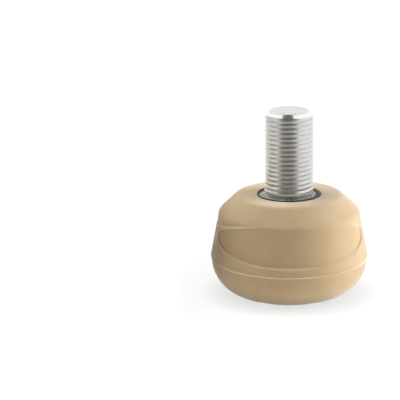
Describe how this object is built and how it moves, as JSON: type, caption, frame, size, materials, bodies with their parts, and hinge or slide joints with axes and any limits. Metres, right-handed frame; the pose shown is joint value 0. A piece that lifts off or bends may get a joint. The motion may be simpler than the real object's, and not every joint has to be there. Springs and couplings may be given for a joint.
{
  "type": "roller skate toe stop",
  "caption": "Round rubber roller skate brake with a flat pierced working face, flared wall and shoulder, moulded round the foot of an upright steel screw stem.",
  "frame": {"origin": "centre of the flat working face, on the stem's axis", "axes": "+Z along the stem, from the working face towards the stem's end; -Y towards the front panel"},
  "size_m": [0.0508, 0.0508, 0.0606],
  "materials": {
    "rubber": "matt moulded beige rubber",
    "plated_steel": "bright zinc plate over a cut thread",
    "collar_steel": "dull mottled grey plate",
    "plate_steel": "plain steel, hidden in the rubber",
    "bonding_cement": "black bonding cement"
  },
  "bodies": {
    "root": {"rubber_body": "rubber", "threaded_stem": "plated_steel", "stem_collar": "collar_steel", "anchor_plate": "plate_steel", "bond_ring": "bonding_cement"}
  },
  "joints": []
}
